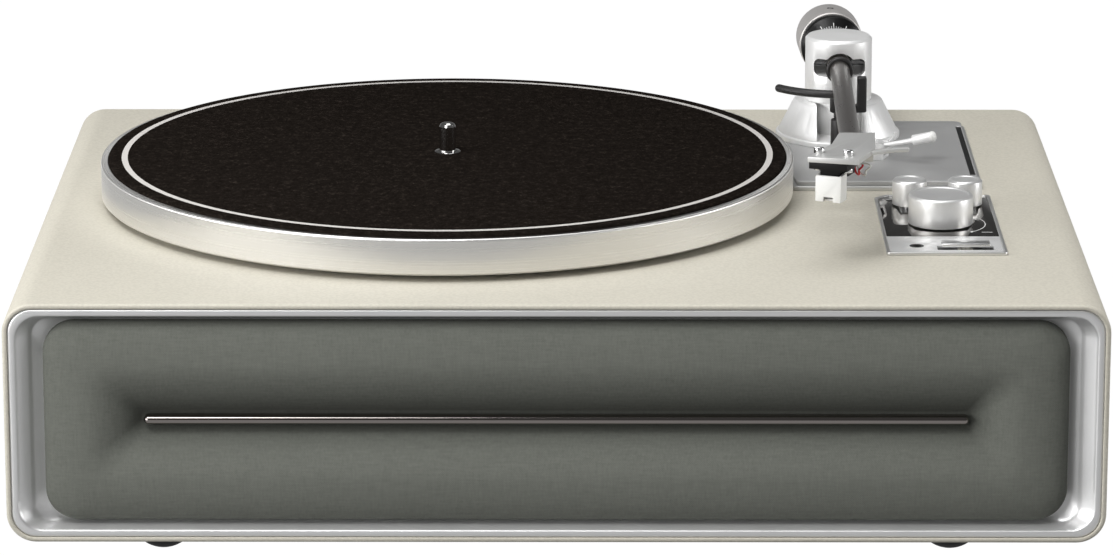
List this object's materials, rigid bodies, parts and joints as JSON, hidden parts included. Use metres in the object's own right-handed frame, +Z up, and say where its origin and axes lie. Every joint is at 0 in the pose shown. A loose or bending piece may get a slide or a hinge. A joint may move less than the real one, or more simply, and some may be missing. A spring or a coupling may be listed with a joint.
{
  "type": "record player",
  "caption": "Leather-wrapped table-top record player with a belt-driven platter, straight tonearm, three knobs and a dished cloth speaker front with a chrome bar.",
  "frame": {"origin": "middle of the footprint, on the surface that the feet stand on", "axes": "+X to the right as seen from the front, +Y to the back, +Z up"},
  "size_m": [0.446, 0.352, 0.1625],
  "materials": {
    "board": "fibreboard, unfinished",
    "leather": "cream grained leather, satin",
    "bezel": "satin silver",
    "grille_cloth": "tight woven grey-green cloth",
    "grille_pan": "black moulded",
    "bright_bar": "polished",
    "foot_rubber": "black moulded rubber",
    "zinc": "zinc plated",
    "rear_plastic": "fine black texture",
    "basket": "black stamped steel",
    "magnet": "ferrite",
    "cone_paper": "black paper cone",
    "circuit": "green solder mask",
    "motor_can": "plated can",
    "brass": "turned",
    "belt_rubber": "ground flat belt",
    "plate_alu": "fine brushed and bead blasted",
    "plate_edge": "satin anodised",
    "black_trim": "black",
    "arm_silver": "satin silver",
    "arm_steel": "turned steel",
    "arm_black": "black",
    "tube_grey": "graphite grey, semi-gloss",
    "control_dark": "dark gloss",
    "control_light": "satin anodised",
    "platter_alu": "turned, brushed rim",
    "mat_felt": "black felt with one white ring",
    "spindle_steel": "polished steel",
    "shell_alu": "light grey anodised",
    "cart_black": "black",
    "guard_white": "white translucent-looking plastic",
    "cantilever_alu": "drawn",
    "screw_bright": "polished",
    "weight_silver": "satin silver",
    "dial_black": "black gloss with white ticks",
    "knob_alu": "satin, turned",
    "contact_gold": "gold plated"
  },
  "bodies": {
    "cabinet": {"deck_board": "board", "bottom_board": "board", "left_board": "board", "right_board": "board", "speaker_baffle": "board", "leather_wrap": "leather", "front_bezel": "bezel", "grille_cloth": "grille_cloth", "grille_pan": "grille_pan", "grille_bar": "bright_bar", "feet": "foot_rubber", "cabinet_screws": "zinc", "rear_panel": "rear_plastic", "dc_inlet": "rear_plastic", "headphone_jack": "rear_plastic", "speaker_baskets": "basket", "speaker_magnets": "magnet", "speaker_cones": "cone_paper", "amp_board": "circuit", "motor": "motor_can", "bearing_housing": "brass", "drive_belt": "belt_rubber", "arm_plate_upper": "plate_alu", "arm_plate_lower": "plate_edge", "control_frame": "plate_edge", "plate_slot": "black_trim", "arm_flange": "arm_silver", "arm_cone": "arm_silver", "lever_bracket": "arm_silver", "arm_pillar": "arm_steel", "control_pots": "arm_steel", "armrest": "arm_black", "control_panel": "control_dark", "control_strip": "control_light", "rca_jacks": "contact_gold"},
    "platter": {"platter": "platter_alu", "platter_mat": "mat_felt", "spindle": "spindle_steel"},
    "motor_pulley": {"motor_pulley": "brass"},
    "arm_yaw": {"pivot_housing": "arm_silver", "pitch_axle": "arm_steel"},
    "arm": {"arm_tube": "tube_grey", "arm_collar": "arm_black", "rear_shaft": "arm_steel", "headshell": "shell_alu", "cartridge": "cart_black", "stylus": "cantilever_alu", "stylus_guard": "guard_white", "cartridge_screws": "screw_bright", "finger_lift": "shell_alu"},
    "counterweight": {"counterweight": "weight_silver"},
    "force_dial": {"force_dial": "dial_black"},
    "lift_bar": {"lift_bar": "arm_black"},
    "cue_lever": {"cue_lever": "arm_silver"},
    "antiskate_lever": {"antiskate_lever": "arm_silver"},
    "volume_knob": {"volume_knob": "knob_alu"},
    "bass_knob": {"bass_knob": "knob_alu"},
    "treble_knob": {"treble_knob": "knob_alu"},
    "speed_rocker": {"speed_rocker": "knob_alu"},
    "power_rocker": {"power_rocker": "rear_plastic"}
  },
  "joints": [
    {"name": "arm_swing", "type": "hinge", "parent": "cabinet", "child": "arm_yaw", "pos_m": [0.1264, 0.1069, 0.13], "axis": [0, 0, 1], "range_deg": [-45, 0]},
    {"name": "arm_lift", "type": "hinge", "parent": "arm_yaw", "child": "arm", "pos_m": [0.1264, 0.1069, 0.1477], "axis": [-1, 0, 0], "range_deg": [-1.9, 8]},
    {"name": "cue_lever_turn", "type": "hinge", "parent": "cabinet", "child": "cue_lever", "pos_m": [0.1424, 0.0619, 0.119], "axis": [-0.3338, -0.9426, 0], "range_deg": [0, 60]},
    {"name": "platter_spin", "type": "hinge", "parent": "cabinet", "child": "platter", "pos_m": [-0.0478, 0.0079, 0.12], "axis": [0, 0, 1], "continuous": true},
    {"name": "pulley_spin", "type": "hinge", "parent": "cabinet", "child": "motor_pulley", "pos_m": [-0.11497, 0.07508, 0.115], "axis": [0, 0, 1], "continuous": true},
    {"name": "lift_rise", "type": "slide", "parent": "cabinet", "child": "lift_bar", "axis": [0, 0, 1], "range_m": [-0.0051, 0]},
    {"name": "counterweight_turn", "type": "hinge", "parent": "arm", "child": "counterweight", "pos_m": [0.12476, 0.15387, 0.1477], "axis": [-0.0349, 0.9994, 0], "range_deg": [-360, 360]},
    {"name": "dial_turn", "type": "hinge", "parent": "counterweight", "child": "force_dial", "pos_m": [0.12532, 0.13788, 0.1477], "axis": [-0.0349, 0.9994, 0], "range_deg": [-180, 180]},
    {"name": "antiskate_turn", "type": "hinge", "parent": "cabinet", "child": "antiskate_lever", "pos_m": [0.138, 0.0714, 0.116], "axis": [0, 0, 1], "range_deg": [0, 25]},
    {"name": "volume_turn", "type": "hinge", "parent": "cabinet", "child": "volume_knob", "pos_m": [0.1627, -0.047, 0.115], "axis": [0, 0, 1], "range_deg": [-150, 150]},
    {"name": "bass_turn", "type": "hinge", "parent": "cabinet", "child": "bass_knob", "pos_m": [0.1515, -0.014, 0.115], "axis": [0, 0, 1], "range_deg": [-135, 135]},
    {"name": "treble_turn", "type": "hinge", "parent": "cabinet", "child": "treble_knob", "pos_m": [0.1754, -0.014, 0.115], "axis": [0, 0, 1], "range_deg": [-135, 135]},
    {"name": "speed_tilt", "type": "hinge", "parent": "cabinet", "child": "speed_rocker", "pos_m": [0.1704, -0.089, 0.1075], "axis": [0, 1, 0], "range_deg": [-2.5, 2.5]},
    {"name": "power_tilt", "type": "hinge", "parent": "cabinet", "child": "power_rocker", "pos_m": [0.18, 0.1635, 0.06], "axis": [1, 0, 0], "range_deg": [-6, 6]}
  ],
  "couplings": [
    {"joint": "pulley_spin", "follows": "platter_spin", "ratio": 10.333},
    {"joint": "lift_rise", "follows": "cue_lever_turn", "m_per_rad": -0.0047746}
  ]
}
